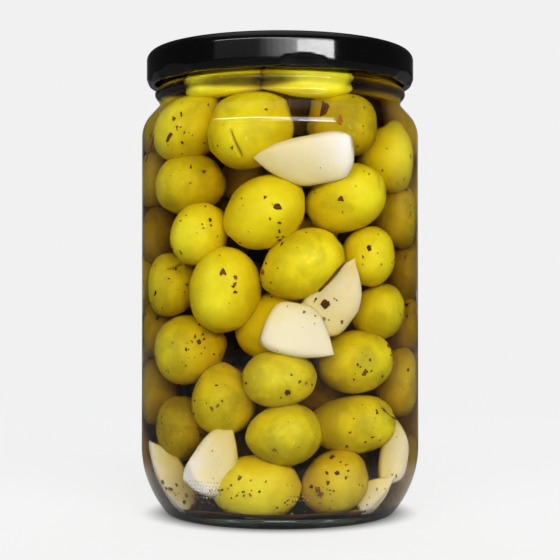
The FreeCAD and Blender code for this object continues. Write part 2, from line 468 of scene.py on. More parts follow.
def garlic_material():
    n = material_nodes("garlic_flesh")
    clouds = n.noise(150.0, 3.0, 0.5, 0.3)
    soaked = n.math("ADD", n.value("yellow"), n.spread(clouds, 0.4, 0.75, -0.2, 0.2))
    flesh = n.mix(soaked, (0.88, 0.84, 0.88, 1), (0.84, 0.64, 0.1, 1))
    skin = n.principled(
        Base_Color=n.mix(n.value("end"), flesh, (0.42, 0.26, 0.08, 1)),
        Roughness=0.42,
        Normal=n.bump(n.noise(700.0, 3.0), 0.3, 0.25),
        Specular_IOR_Level=0.3,
        Subsurface_Weight=0.45,
        Subsurface_Radius=(1.0, 0.8, 0.4),
        Subsurface_Scale=0.003,
    )
    n.surface(skin)
    return n.owner


def herb_material():
    n = material_nodes("dried_herbs")
    grain = n.noise(1500.0, 3.0)
    brown = n.ramp(
        n.math("ADD", n.value("kind"), n.spread(grain, 0.3, 0.7, -0.12, 0.12)),
        (0.0, (0.07, 0.025, 0.01, 1)),
        (0.4, (0.16, 0.055, 0.016, 1)),
        (0.75, (0.28, 0.13, 0.025, 1)),
        (1.0, (0.5, 0.2, 0.04, 1)),
    )
    leaf = n.principled(
        Base_Color=brown, Roughness=0.6, Normal=n.bump(grain, 0.5, 0.2), Specular_IOR_Level=0.2
    )
    n.surface(leaf)
    return n.owner


def lumpy_material(name, dark, light):
    n = material_nodes(name)
    lumps = n.noise(120.0, 4.0, 0.6)
    core = n.principled(
        Base_Color=n.mix(n.spread(lumps, 0.35, 0.65), dark, light),
        Roughness=0.6,
        Normal=n.bump(lumps, 0.8, 1.5),
        Specular_IOR_Level=0.15,
    )
    n.surface(core)
    return n.owner


# ---- the glass
thread_zone = (138.0, 146.4)  # heights between which the neck has fine rows for its threads
thread_row = 0.35
glass_azimuths = 264


def thread_reach(azimuth, z):
    """How far out the nearest thread reaches, or 0 away from them."""
    reach = np.zeros_like(z)
    span = math.radians(thread_span)
    for k in range(lug_count):
        start = math.radians(first_lug_azimuth - thread_lead + k * 360 / lug_count)
        along = (azimuth - start + math.pi) % full_turn - math.pi
        along = np.where(along < -math.radians(30), along + full_turn, along)
        share = along / span
        past = np.maximum(np.maximum(-share, share - 1), 0) * span * thread_spine
        middle = thread_low + thread_rise * np.clip(share, 0, 1)
        left = thread_round**2 - (z - middle) ** 2 - past**2
        reach = np.maximum(reach, np.where(left > 0, thread_spine + np.sqrt(np.maximum(left, 0)), 0))
    return reach


def make_glass():
    """The glass: its outside with the threads, and its cavity, a little uneven as pressed glass is."""
    low, high = thread_zone
    outside = rounded_line(outside_corners, 0.4, 1.6)
    inside = rounded_line(cavity_corners + [(inner_neck_radius, glass_height - 1.2, 0)], 0.6, 2.0)
    neck = filled([np.array([neck_radius, z]) for z in np.arange(low, high + 0.1, thread_row)], 1.0)
    outside = np.vstack([outside[(outside[:, 1] < low) | (outside[:, 1] > high)], neck])
    below = outside[outside[:, 1] <= low]
    above = outside[outside[:, 1] > high]
    line = np.vstack([below, neck[1:], above, inside[::-1]])
    outer = np.arange(len(line)) < len(below) + len(neck) - 1
    band = outer & (line[:, 1] > low - 0.5) & (line[:, 1] < high + 0.6)
    wall = ~outer & (line[:, 1] > 4) & (line[:, 1] < 128)
    base = ~outer & (line[:, 1] < 8) & (line[:, 0] > 2)

    def change(azimuth, r, z):
        r = np.where(band, np.maximum(r, thread_reach(azimuth, z)), r)
        fade = smooth(z, 8, 20) * (1 - smooth(z, 118, 128))
        r = r + np.where(wall, 0.1 * fade * ripple(azimuth, z / 26.0, 5), 0)
        z = z + np.where(base, 0.12 * ripple(azimuth, r / 9.0, 9), 0)
        calm = smooth(z, 20, 45) * (1 - smooth(z, 95, 117))
        dip = np.maximum(0.02 + 0.015 * ripple(azimuth, z / 25.0, 6, finest=6), 0)
        return r - np.where(outer, dip * calm, 0), z

    return lathe(line, glass_azimuths, change)


def ball_mesh(rows, count, flat=1.0):
    """A ball of radius 1. Flat below 1 fills out its girth towards the poles."""
    angles = np.linspace(0, math.pi, rows + 1)
    line = np.stack([np.sin(angles) ** flat, -np.cos(angles)], axis=1)
    line[0, 0] = line[-1, 0] = 0
    return lathe(line, count)


stipple_patches = ((-31.0, 10, 5), (10.0, 9, 2), (150.0, 10, 5))  # azimuth, dots in a row, rows
dot_radius = 0.3
dot_in_glass = 0.18
dot_turn = 1.45  # degrees from dot to dot
dot_row = 1.15
lowest_dots = 9.6


def make_stipple():
    """Patches of small raised glass dots low on the heel, as moulds leave."""
    heap = Heap()
    outside = rounded_line(outside_corners, 0.3, 0.6)
    heel = outside[(outside[:, 0] > 36) & (outside[:, 1] < 24)]
    verts, faces = ball_mesh(6, 8)
    for centre, count, rows in stipple_patches:
        for row in range(rows):
            height = lowest_dots + row * dot_row
            depth = np.interp(height, heel[:, 1], heel[:, 0]) - dot_in_glass
            for k in range(count):
                azimuth = math.radians(centre + (k - count / 2 + 0.5 * (row % 2)) * dot_turn)
                size = dot_radius * rng.uniform(0.85, 1.1)
                heap.add(around(azimuth) * depth + [0, 0, height] + verts * size, faces)
    return heap


# ---- the lid
def make_lid():
    panel = lid_top - panel_drop
    button = panel - button_drop
    channel = lid_radius - channel_width
    to_roll = np.array([curl_radius - lid_radius, curl_height - side_corner_height])
    distance = np.linalg.norm(to_roll)
    meeting = math.atan2(-to_roll[1], -to_roll[0]) - math.acos(curl_round / distance)

    def on_roll(angle):
        return (curl_radius + curl_round * math.cos(angle), curl_height + curl_round * math.sin(angle))

    corners = [
        (0, button, 0),
        (button_radius, button, panel_round),
        (button_radius + button_ramp, panel, panel_round),
        (channel - panel_ramp, panel, panel_round),
        (channel, lid_top, panel_round),
        (lid_radius, lid_top, lid_corner_round),
        (lid_radius, side_corner_height, 0.6),
        (*on_roll(meeting), 0),
    ]
    roll = [on_roll(meeting - math.radians(turn)) for turn in range(12, curl_turn + 1, 11)]
    outer = np.vstack([rounded_line(corners, 0.2, 0.8), roll])
    along = units(np.gradient(outer, axis=0))
    inner = outer + sheet * np.stack([along[:, 1], -along[:, 0]], axis=1)
    inner[0, 0] = 0
    line = np.vstack([outer, inner[::-1]])
    line[-1, 0] = 0

    def change(azimuth, r, z):
        for k in range(lug_count):
            middle = math.radians(first_lug_azimuth + k * 360 / lug_count)
            off = np.abs((azimuth - middle + math.pi) % full_turn - math.pi)
            share = np.clip(off / math.radians(lug_half_span + 1.5), 0, 1)
            under = curl_height - curl_round + lug_arch * np.sqrt(1 - share**2) - z
            slope = smooth(under, 0.0, 1.3) * (0.35 + 0.65 * smooth(under, 0.5, lug_arch))
            sides = 1 - smooth(off, math.radians(lug_half_span - 1.2), math.radians(lug_half_span + 1.5))
            r = r - np.where(r > 37, lug_depth * slope * sides, 0)
        z = z + np.where(r < 34, 0.03 * ripple(azimuth, r / 8.0, 3, finest=4) * smooth(r, 0, 6), 0)
        return r, np.minimum(z, lid_top)

    return lathe(line, 360, change)


# ---- where things stand in the jar
inner_line = rounded_line(cavity_corners + [(inner_neck_radius, oil_level, 0)], 0.6, 2.0)
rising = inner_line[np.argmin(inner_line[:, 1]) :]
ground = inner_line[: np.argmin(inner_line[:, 1]) + 1]


def room_radius(z):
    """Inside radius of the glass at a height."""
    return np.interp(z, rising[:, 1], rising[:, 0])


def held_in(points, gap=0.1):
    """Keeps a surface a hair above the glass's floor and inside its wall."""
    out = np.hypot(points[:, 0], points[:, 1])
    low = np.interp(out, ground[:, 0], ground[:, 1]) + gap
    points[:, 2] = np.clip(points[:, 2], low, oil_level - gap)
    shrink = np.minimum(1, (room_radius(points[:, 2]) - gap) / np.maximum(out, 1))
    points[:, :2] *= shrink[:, None]
    return points


class Sight:
    """Lines of sight from the camera, bent once where they enter the jar."""

    def __init__(self, verts, faces):
        self.tree = BVHTree.FromPolygons([Vector(v) for v in verts], faces)

    def line(self, across, up):
        """The line that looks as if it goes through a place in the plane of the jar's axis."""
        toward = (Vector((across, 0.0, up)) - eye).normalized()
        hit, normal, _, _ = self.tree.ray_cast(eye, toward)
        if hit is None:
            return None
        if normal.dot(toward) > 0:
            normal = -normal
        ratio = 1 / oil_index
        facing = -normal.dot(toward)
        through = math.sqrt(1 - ratio**2 * (1 - facing**2))
        inside = (toward * ratio + normal * (ratio * facing - through)).normalized()
        return np.array(hit), np.array(inside)

    def place(self, across, up, clearance):
        """Where a thing stands that is seen at a place and keeps a clearance from the glass."""
        start, along = self.line(across, up)
        steps = np.arange(0.5, 60, 0.25)  # millimetres behind the glass
        points = start + steps[:, None] * along
        gaps = room_radius(points[:, 2]) - np.hypot(points[:, 0], points[:, 1])
        enough = np.nonzero(gaps >= clearance)[0]
        best = enough[0] if len(enough) else int(np.argmax(gaps))
        return points[best]


# ---- the olives
# Seen from the front: across and up in the plane of the axis, length, width, lean of the long axis,
# depth behind the glass, brightness, and how amber; then cuts as (across, up, length, lean).
Seen = namedtuple("Seen", "across up length width lean depth tone amber cuts", defaults=(0.0, ()))

front_olives = [
    (-19, 139, 24, 18, 3, 0, 0.84),
    (8.5, 139.5, 26, 18, -2, 0, 0.84),
    (31, 137, 22, 17, 5, 3, 0.5, 0.3),
    (-37, 136, 20, 16, 10, 3, 0.42, 0.35),
    (-30, 124, 22.5, 19, 15, 0, 0.74, 0.1),
    (-9.5, 120.5, 24, 21, 25, 0, 0.7, 0.0, ((-4, -3, 10, -68),)),
    (20.5, 126, 19.5, 17.5, 5, 4, 0.5, 0.2),
    (36, 114, 21, 20, 70, 0, 0.85),
    (-30.5, 106.5, 22.5, 18.5, 8, 0, 0.6, 0.05),
    (-4.5, 97, 25, 20.5, 44, 0, 0.78),
    (22, 101, 25, 19.5, 30, 0, 0.66),
    (-25.5, 89.5, 19.5, 17.5, 60, 0, 0.82),
    (7, 79.5, 25, 19.5, 35, 0, 0.66),
    (29, 82, 18.5, 17, 80, 0, 0.84, 0.05),
    (-17.5, 71.5, 26, 21, 80, 0, 0.8, 0.05),
    (-36, 73, 20, 18, 75, 0, 0.62, 0.0, ((2, 6, 7, 15),)),
    (-40, 89.5, 18, 16, 85, 4, 0.45, 0.35),
    (-42, 107, 18, 15, 80, 2, 0.6, 0.1),
    (39, 95, 20, 17, 75, 2, 0.55, 0.25),
    (40.5, 77.5, 19, 16, 80, 4, 0.42, 0.35),
    (-29, 51, 23.5, 21, 15, 0, 0.64, 0.12),
    (32.5, 64.5, 18, 16.5, 20, 1, 0.62),
    (-5.5, 62.5, 22, 18.5, 60, 4, 0.8),
    (-19.5, 36.0, 21.5, 17.5, 86, 1.8, 0.52),
    (0, 42, 21, 17, 4, 0, 0.56, 0.05),
    (25.5, 48.3, 23.5, 19, 8, 0, 0.56),
    (39, 41.5, 22, 18, 85, 1, 0.6, 0.45),
    (41, 60, 18, 16, 80, 4, 0.42, 0.35),
    (-34, 26, 20, 17.5, 78, 1, 0.42, 0.2),
    (1.5, 23.5, 21, 18, 8, 0, 0.52, 0.03),
    (26, 27.5, 26, 18, 2, 0, 0.55, 0.03),
    (-8.8, 7, 25, 18, 2, 0, 0.84, 0.12),
    (18.0, 8.5, 19.5, 18, 20, 0, 0.66, 0.45),
    (-40, 38.5, 21, 16, 85, 3, 0.5, 0.3),
    (-40.5, 58.5, 18, 15, 80, 3, 0.45, 0.35),
    (39, 13, 20, 17, 80, 4, 0.4, 0.4),
]

# Garlic cloves seen from the front. Here lean is where the tip points, amber is how yellow the clove is,
# and tone is 1 where the straight side is left of the tip's direction and -1 where it is right of it.
front_cloves = [
    (9, 115.5, 29.5, 15.5, 190, 0, -1),
    (17.5, 67.5, 25, 15, 50, 1.5, 1, 0.25),
    (8.6, 60.2, 22, 16.5, -14, 0, -1),
    (-22.5, 17.5, 23, 14, 54, 0, 1, 0.1),
    (-37.5, 13, 24, 12, 124, 0, 1, 0.3),
    (36, 19.5, 20, 12, 80, 1, 1, 0.4),
    (31.5, 4.5, 14, 10, 50, 0, -1, 0.4),
]

Item = namedtuple("Item", "centre axis front half_length half_width tone amber cuts kind fixed")

clove_thickness = 0.45  # half of it, as a share of half the width
glass_clearance = 0.3
fill_heights = np.linspace(17, 128, 7)
fill_rings = ((10.0, 19.5), (27.5, 19.0))  # how far in from the glass, and spacing
outer_ring = 12  # rings less far in than this can be seen
least_spacing = 13.5
clove_share = 0.14
cut_share = 0.04
half_sizes = {"olive": (12.0, 9.5), "clove": (11.5, 7.0)}  # half length and half width


def items_in_front(sight):
    """The olives and cloves that can be seen, put where they look right behind the glass."""
    items = []
    for kind, rows in (("olive", front_olives), ("clove", front_cloves)):
        for seen in (Seen(*row) for row in rows):
            half_width = seen.width / 2
            thickness = half_width * (1 if kind == "olive" else clove_thickness)
            centre = sight.place(seen.across, seen.up, thickness + seen.depth + glass_clearance)
            _, along = sight.line(seen.across, seen.up)
            lean = math.radians(seen.lean)
            right = unit(np.cross(along, [0, 0, 1]))
            upward = np.cross(right, along)
            axis = unit(right * math.cos(lean) + upward * math.sin(lean))
            looks = (seen.tone, seen.amber, seen.cuts)
            items.append(Item(centre, axis, -along, seen.length / 2, half_width, *looks, kind, True))
    return items


def items_behind(front):
    """Olives and cloves for the rest of the jar, in rings behind the glass and inside them."""
    items = []
    taken = np.array([item.centre for item in front])
    for ring_inset, spacing in fill_rings:
        for row, height in enumerate(fill_heights):
            radius = room_radius(height) - ring_inset
            count = max(3, round(full_turn * radius / spacing))
            for k in range(count):
                out = around(full_turn * (k + 0.5 * (row % 2) + rng.uniform(-0.15, 0.15)) / count)
                centre = out * radius + [0, 0, height + rng.uniform(-2, 2)]
                if np.linalg.norm(taken - centre, axis=1).min() < least_spacing:
                    continue
                lean = rng.uniform(0, math.pi)
                axis = np.cross(out, [0, 0, 1]) * math.cos(lean) + np.array([0, 0, 1]) * math.sin(lean)
                grow = rng.uniform(0.9, 1.08)
                kind = "clove" if rng.random() < clove_share else "olive"
                half_length, half_width = half_sizes[kind]
                tone = rng.uniform(0.45, 0.85) if kind == "olive" else rng.choice([-1, 1])
                cuts = ()
                # olives of the inner rings get a much darker tone: painted shade for the deep gaps of the
                # heap
                if kind == "olive" and ring_inset > outer_ring:
                    tone -= 0.5
                elif kind == "olive" and rng.random() < cut_share:
                    cuts = (tuple(rng.uniform(*span) for span in ((-3, 3), (-3, 3), (5, 10), (-90, 90))),)
                sizes = (half_length * grow, half_width * grow)
                looks = (tone, rng.uniform(0, 0.25), cuts)
                items.append(Item(centre, axis, out, *sizes, *looks, kind, False))
    return items


clove_girth = 0.68  # of a clove's balls, as a share of its half width
end_share = 0.86  # size of the balls near the ends
front_ease = 0.12  # how easily those in front move, and how strongly they go back
squash = 0.35  # how far two may press into each other
lowest = 5.6
highest = oil_level - 0.8
wall_gap = 0.15
part_push, wall_push, end_push = 0.45, 0.7, 0.5  # share of an overlap that one round takes back
longest_push = 1.5
pace = 0.6


def settle(items, rounds=260):
    """Moves the items apart until they barely touch each other and stay inside the glass.

    Each is three balls, one in the middle and one near each end. Those in front are pulled back home.
    """
    centre = np.array([item.centre for item in items])
    home = centre.copy()
    axis = np.array([item.axis for item in items])
    long = np.array([item.half_length for item in items])
    wide = np.array([item.half_width * (1 if item.kind == "olive" else clove_girth) for item in items])
    fixed = np.array([item.fixed for item in items])
    ease = np.where(fixed, front_ease, 1.0)
    end_round = wide * end_share
    end_reach = long - end_round
    size = np.concatenate([wide, end_round, end_round]) - squash / 2
    half_height = np.hypot(long * axis[:, 2], wide * np.hypot(axis[:, 0], axis[:, 1]))
    count = len(items)
    owner = np.tile(np.arange(count), 3)
    apart = owner[:, None] != owner[None, :]
    for _ in range(rounds):
        balls = np.vstack([centre, centre + axis * end_reach[:, None], centre - axis * end_reach[:, None]])
        gap = balls[:, None] - balls[None, :]
        distance = np.linalg.norm(gap, axis=2) + 1e-6
        overlap = np.where(apart, size[:, None] + size[None, :] - distance, 0)
        overlap = np.maximum(overlap, 0)
        share = ease[owner][:, None] / (ease[owner][:, None] + ease[owner][None, :])
        push = (gap / distance[:, :, None] * (overlap * share)[:, :, None]).sum(axis=1) * part_push
        flat = np.hypot(balls[:, 0], balls[:, 1]) + 1e-6
        over = np.maximum(flat + size + squash / 2 - room_radius(balls[:, 2]) + wall_gap, 0)
        push[:, 0] -= balls[:, 0] / flat * over * wall_push
        push[:, 1] -= balls[:, 1] / flat * over * wall_push
        push[:, 2] += np.maximum(lowest + size - balls[:, 2], 0) * end_push
        push[:, 2] -= np.maximum(balls[:, 2] + size - highest, 0) * end_push
        total = np.zeros_like(centre)
        np.add.at(total, owner, push)
        centre = centre + np.clip(total, -longest_push, longest_push) * pace
        centre = np.where(fixed[:, None], centre + (home - centre) * front_ease, centre)
        centre[:, 2] = np.minimum(centre[:, 2], oil_level - 0.6 - half_height)
    return [item._replace(centre=place) for item, place in zip(items, centre)]


squarish = 2 / 2.7  # power that flattens a clove's round section


def spot(distance, width):
    """A soft round spot: 1 in its middle, fading over the width."""
    return np.exp(-((distance / width) ** 2))


def olive_shape(item, rows, count, number):
    """An olive: egg-smooth, with a stem scar, a blunt tip, shallow dents and any cuts.

    Returns its surface and how dark each place is marked. Its stem end is at the low end of its axis.
    """
    dice = np.random.default_rng(500 + number)
    ball, faces = ball_mesh(rows, count, 0.94)
    sizes = np.array([item.half_width, item.half_width, item.half_length])
    egg = dice.uniform(-0.09, 0.09)
    local = ball * sizes
    local[:, :2] *= (1 + egg * ball[:, 2])[:, None]
    out = units(ball)
    lumps = waves_in_space(local, 900 + number, 26.0) * item.half_width * 0.022
    lumps += waves_in_space(local, 1300 + number, 9.0) * 0.07
    local = local + out * lumps[:, None]
    around_stem = np.hypot(local[:, 0], local[:, 1])
    at_stem = local[:, 2] < 0
    local[:, 2] += (spot(around_stem, 1.5) * 0.9 - spot(around_stem - 2.2, 0.8) * 0.2) * at_stem
    mark = 0.75 * spot(around_stem, 1.3) * at_stem
    local[:, 2] += spot(around_stem, 1.7) * ~at_stem * dice.uniform(0.1, 0.6)
    for _ in range(dice.integers(1, 4)):
        dent = out[dice.integers(len(out))] * sizes
        near = spot(np.linalg.norm(local - dent, axis=1), dice.uniform(2.5, 5))
        local = local - out * (near * dice.uniform(0.2, 0.7))[:, None]

    axis = item.axis if dice.random() < 0.5 else -item.axis
    front = unit(item.front - axis * (item.front @ axis))
    roll = dice.uniform(0, full_turn)
    a = front * math.cos(roll) + np.cross(axis, front) * math.sin(roll)
    turn = np.stack([a, np.cross(axis, a), axis])
    points = local @ turn
    if item.cuts:
        right = unit(np.cross(-item.front, [0, 0, 1]))
        seen = np.stack([points @ right, points @ np.cross(right, -item.front)], axis=1)
        facing = smooth(points @ item.front, 0, 2)
        for across, up, length, lean in item.cuts:
            way = np.array([math.cos(math.radians(lean)), math.sin(math.radians(lean))])
            along = (seen - [across, up]) @ way
            off = (seen - [across, up]) @ [-way[1], way[0]] + 0.15 * np.sin(along * 0.7 + across)
            inside = smooth(length / 2 - np.abs(along), 0, 1.6) * facing
            groove = spot(off, 0.33) * inside
            lips = spot(np.abs(off) - 1.1, 0.6) * inside
            points = points + out @ turn * (0.08 * lips - 0.75 * groove)[:, None]
            mark = np.maximum(mark, 0.8 * groove)
    return points + item.centre, faces, mark


def clove_shape(item, rows, count, number):
    """A peeled clove: one long side straight, the other bowed, a pointed tip and a blunt cut root end.

    Returns its surface, where its cut end is, and how yellow each place is.
    """
    dice = np.random.default_rng(700 + number)
    ball, faces = ball_mesh(rows, count)
    t = ball[:, 2]
    angle = np.arctan2(ball[:, 0], -ball[:, 1])
    side, facing = (np.sign(v) * np.abs(v) ** squarish for v in (np.sin(angle), np.cos(angle)))
    toward_root = np.maximum(-t, 0)
    tip = np.maximum(1 - np.maximum(t, 0) ** 1.6, 0) ** 0.95
    girth = np.where(t < 0, np.maximum(1 - toward_root**6, 0) ** 0.5, tip)
    straight = 0.42 * np.where(t < 0, np.maximum(1 - toward_root**5, 0) ** 0.6, tip)
    bowed = 1.5 * girth
    thick = np.where(facing > 0, 0.42, 0.78) * girth**0.8
    across = side * np.where(side * item.tone > 0, straight, bowed) + 0.45 * item.tone
    shares = (across * item.half_width, -facing * thick * item.half_width, t * item.half_length)
    local = np.stack(shares, axis=1)
    local += waves_in_space(local, 40 + number, 16.0)[:, None] * ball * 0.25
    end = smooth(-t, 0.965, 0.995) * 0.7
    yellow = item.amber + 0.5 * smooth(np.abs(angle), 1.3, 2.2)
    axis = item.axis
    front = unit(item.front - axis * (item.front @ axis))
    roll = dice.uniform(-0.12, 0.12) if item.fixed else dice.uniform(-0.8, 0.8)
    toward = front * math.cos(roll) + np.cross(front, axis) * math.sin(roll)
    turn = np.stack([np.cross(toward, axis), -toward, axis])
    return local @ turn + item.centre, faces, end, yellow


def flake(place, normal, size, dice, thick=0.16):
    """A small ragged flat scrap that lies on a surface."""
    count = dice.integers(7, 12)
    turn = np.sort(dice.uniform(0, full_turn, count)) / 2
    turn = turn + np.linspace(0, full_turn, count, endpoint=False) / 2
    radius = size / 2 * dice.uniform(0.5, 1.3, count)
    stretch = dice.uniform(0.45, 1.0)
    a = unit(np.cross(normal, dice.normal(size=3)))
    b = np.cross(normal, a)
    tilt = unit(normal + 0.25 * dice.normal(size=3))
    low = place + np.outer(np.cos(turn) * radius, a) + np.outer(np.sin(turn) * radius * stretch, b)
    low = low - 0.6 * np.outer((low - place) @ (tilt - normal), normal)
    high = place + (low - place) * 0.86 + normal * (thick + dice.uniform(0, 0.12, count)[:, None])
    verts = np.vstack([low, high, [place - normal * 0.05], [place + normal * (thick + 0.1)]])
    under, over = 2 * count, 2 * count + 1
    faces = []
    for k in range(count):
        n = (k + 1) % count
        faces += [[k, n, n + count, k + count], [n, k, under], [k + count, n + count, over]]
    return verts, faces


def stem(path, radius, dice, knots=14, sides=7):
    """A thin uneven dried stalk along a few points."""
    places = np.linspace(0, len(path) - 1, knots)
    line = np.stack([np.interp(places, range(len(path)), part) for part in np.transpose(path)], axis=1)
    line[1:-1] = (line[:-2] + line[1:-1] * 2 + line[2:]) / 4
    along = units(np.gradient(line, axis=0))
    a = units(np.cross(along, [0.3, 0.1, 1.0]))
    b = np.cross(along, a)
    turn = np.linspace(0, full_turn, sides, endpoint=False)[None, :, None]
    ends = np.minimum(1, np.sin(np.linspace(0.25, 2.9, knots)) * 2)
    girth = radius * dice.uniform(0.75, 1.25, knots) * ends
    rings = line[:, None] + girth[:, None, None] * (np.cos(turn) * a[:, None] + np.sin(turn) * b[:, None])
    faces = [list(range(sides))[::-1], [(knots - 1) * sides + k for k in range(sides)]]
    for i in range(0, (knots - 1) * sides, sides):
        for k in range(sides):
            n = (k + 1) % sides
            faces.append([i + k, i + n, i + sides + n, i + sides + k])
    return rings.reshape(-1, 3), faces


# Patches of flecks seen from the front: across, up, spread, how many
fleck_patches = [
    (-1, 89.5, 5, 7),
    (-26, 92, 4, 6),
    (-17, 73, 6, 9),
    (-29, 54, 8, 24),
    (26, 47, 6, 10),
    (32, 29, 5, 9),
    (19, 10, 8, 18),
    (29, 82, 3, 3),
    (-7, 9, 8, 8),
    (-31, 122, 6, 11),
    (14, 67, 6, 8),
    (3, 42, 7, 7),
    (-22, 36, 6, 4),
    (22, 103, 5, 3),
    (-36, 74, 5, 5),
]
large_flecks = [  # across, up, size, kind
    (-36.0, 121.0, 3.6, 0.4),
    (-34.5, 127.0, 2.0, 0.5),
    (-32.0, 128.5, 1.6, 0.5),
    (-19.3, 73.2, 2.2, 0.35),
    (29.0, 85.0, 2.4, 0.1),
    (14.5, 130.5, 4.2, 0.2),
    (19.5, 126.5, 2.8, 1.0),
    (-0.8, 98.5, 3.4, 0.15),
    (-18.5, 77.5, 2.6, 0.3),
    (-5.6, 77.5, 2.6, 0.95),
    (14.7, 66.8, 4.2, 0.05),
    (36.0, 52.0, 2.4, 0.4),
    (30.0, 24.0, 2.2, 0.35),
]
stalks = [  # places seen from the front as across and up, radius, kind
    (((12.5, 71.0), (16.0, 74.5), (21.0, 80.5)), 0.45, 0.3),
    (((-43.6, 113.0), (-41.5, 119.0), (-39.5, 126.0)), 0.5, 0.55),
    (((33.0, 33.5), (35.0, 31.0), (38.0, 29.5)), 0.3, 0.4),
]
loose_flecks = 1100
fleck_lift = 0.02
fleck_clearance = 0.5  # between a fleck and the glass
through_wall = 2.6  # along a line of sight, from outside the glass to behind its wall
stalk_clearance = 1.0


def make_herbs(sight, tree):
    """Flecks of dried herbs on the olives and cloves, and a few stalks."""
    heap = Heap()
    dice = np.random.default_rng(31)

    def first_hit(start, way):
        """The first surface met from a start, and its normal turned back against the way."""
        hit, normal, _, _ = tree.ray_cast(Vector(start), Vector(way))
        if hit is None:
            return None
        return np.array(hit), np.array(-normal if normal.dot(Vector(way)) > 0 else normal)

    def on_surface(across, up):
        line = sight.line(across, up)
        return line and first_hit(line[0] + line[1] * through_wall, line[1])

    def put(found, size, kind):
        if found is None:
            return
        place, normal = found
        if math.hypot(place[0], place[1]) + fleck_clearance > room_radius(place[2]):
            return
        heap.add(*flake(place + normal * fleck_lift, normal, size, dice), kind=kind)

    for across, up, spread, count in fleck_patches:
        for _ in range(count):
            size = min(0.95 * dice.lognormal(0, 0.45), 2.8)
            found = on_surface(*([across, up] + dice.normal(size=2) * spread / 2))
            put(found, size, dice.uniform(0, 0.9))
    for across, up, size, kind in large_flecks:
        put(on_surface(across, up), size, kind)
    for _ in range(loose_flecks):
        turn = dice.uniform(0, full_turn)
        if math.cos(turn) > 0.8 and dice.random() < 0.6:
            continue  # fewer in front, where the patches are
        height = 8 + 128 * dice.random() ** 1.25
        out = around(turn)
        found = first_hit(out * (room_radius(height) - 0.3) + [0, 0, height], -out)
        if found:
            put(found, min(0.6 * dice.lognormal(0, 0.5), 2.6), dice.uniform(0, 0.95))
    for spots, radius, kind in stalks:
        path = [sight.place(across, up, stalk_clearance) for across, up in spots]
        heap.add(*stem(path, radius, dice), kind=kind)
    return heap


bed_top = 5.6
bed_gap = 0.12  # between the layer and the glass
bed_rim = 0.12  # thickness at its edge
bed_rise = 0.3  # how much thicker it is elsewhere


def make_bed():
    """The thin uneven layer of fine sediment that covers the floor of the glass."""
    floor = inner_line[: np.argmax(inner_line[:, 1] > bed_top)]
    along = units(np.gradient(floor, axis=0))
    inward = np.stack([-along[:, 1], along[:, 0]], axis=1)
    inward[0] = (0, 1)
    thick = bed_rim + bed_rise * smooth(np.arange(len(floor))[::-1], 0, 4)
    low = floor + bed_gap * inward
    line = np.vstack([low, (low + thick[:, None] * inward)[::-1]])
    upper = np.arange(len(line)) >= len(low)

    def change(azimuth, r, z):
        return r, z + np.where(upper, 0.1 * ripple(azimuth, r / 5.0, 21) * smooth(z, 9, 5), 0)

    return lathe(line, 120, change)


grain_count = 800
grains_top = 14


def make_sediment():
    """Fine reddish grains that have sunk to the bottom, thickest near the corner."""
    heap = Heap()
    dice = np.random.default_rng(77)
    floor = inner_line[: np.argmax(inner_line[:, 1] > grains_top)]
    reach = np.concatenate([[0], np.cumsum(np.linalg.norm(np.diff(floor, axis=0), axis=1))])
    for _ in range(grain_count):
        where = reach[-1] * dice.random() ** 0.55
        r = np.interp(where, reach, floor[:, 0])
        z = np.interp(where, reach, floor[:, 1])
        out = around(dice.uniform(0, full_turn))
        size = 0.75 * dice.lognormal(0, 0.45)
        normal = unit(np.array([0, 0, 1.0]) - out * smooth(r, 30, 40))
        place = out * r + [0, 0, z] + normal * (0.25 + dice.exponential(0.5))
        heap.add(*flake(place, normal, size, dice, 0.3), kind=dice.uniform(0.25, 1.0))
    return heap


# ---- studio
pale = 0.879  # level of the backdrop and of the floor far away
ambient = 0.22
gloss_ambient = 0.03  # the same in glossy and bent rays
floor_gloss_share = 0.5  # how much of the pale floor beside the jar shows in glossy rays
gloss_share = 0.15  # how much of the pale backdrop shows in glossy rays
straight_behind = (0.88, 0.97)  # share of a direction that points away from the camera
overhead = (0.72, 0.97, 0.0, 0.45)  # share that points up, and how bright glossy rays find it
Rays = namedtuple("Rays", "camera glossy transmission")


def ray_kinds(n):
    outputs = n.add("ShaderNodeLightPath").outputs
    return Rays(*(outputs[f"Is {kind} Ray"] for kind in ("Camera", "Glossy", "Transmission")))


def grey(level):
    return (level, level, level, 1)


def make_world():
    """Even dim light from all sides. Camera rays see a pale backdrop instead, as do some bent rays."""
    world = bpy.data.worlds.new("studio")
    bpy.context.scene.world = world
    n = Nodes(world, "ShaderNodeOutputWorld")
    rays = ray_kinds(n)
    way = n.add("ShaderNodeSeparateXYZ", {0: n.add("ShaderNodeTexCoord").outputs["Generated"]}).outputs
    share = n.math("MULTIPLY_ADD", rays.glossy, gloss_share, rays.transmission)
    behind = n.math("MULTIPLY", share, n.spread(way["Y"], *straight_behind), clamp=True)
    bent = n.math("MAXIMUM", rays.glossy, rays.transmission)
    level = n.math("MULTIPLY_ADD", bent, gloss_ambient - ambient, ambient)
    level = n.math("MULTIPLY_ADD", rays.glossy, n.spread(way["Z"], *overhead), level)
    even = n.add("ShaderNodeCombineXYZ", {0: level, 1: level, 2: level}).outputs[0]
    colour = n.mix(n.math("MAXIMUM", rays.camera, behind), even, grey(pale))
    n.surface(n.add("ShaderNodeBackground", {"Color": colour}).outputs[0])


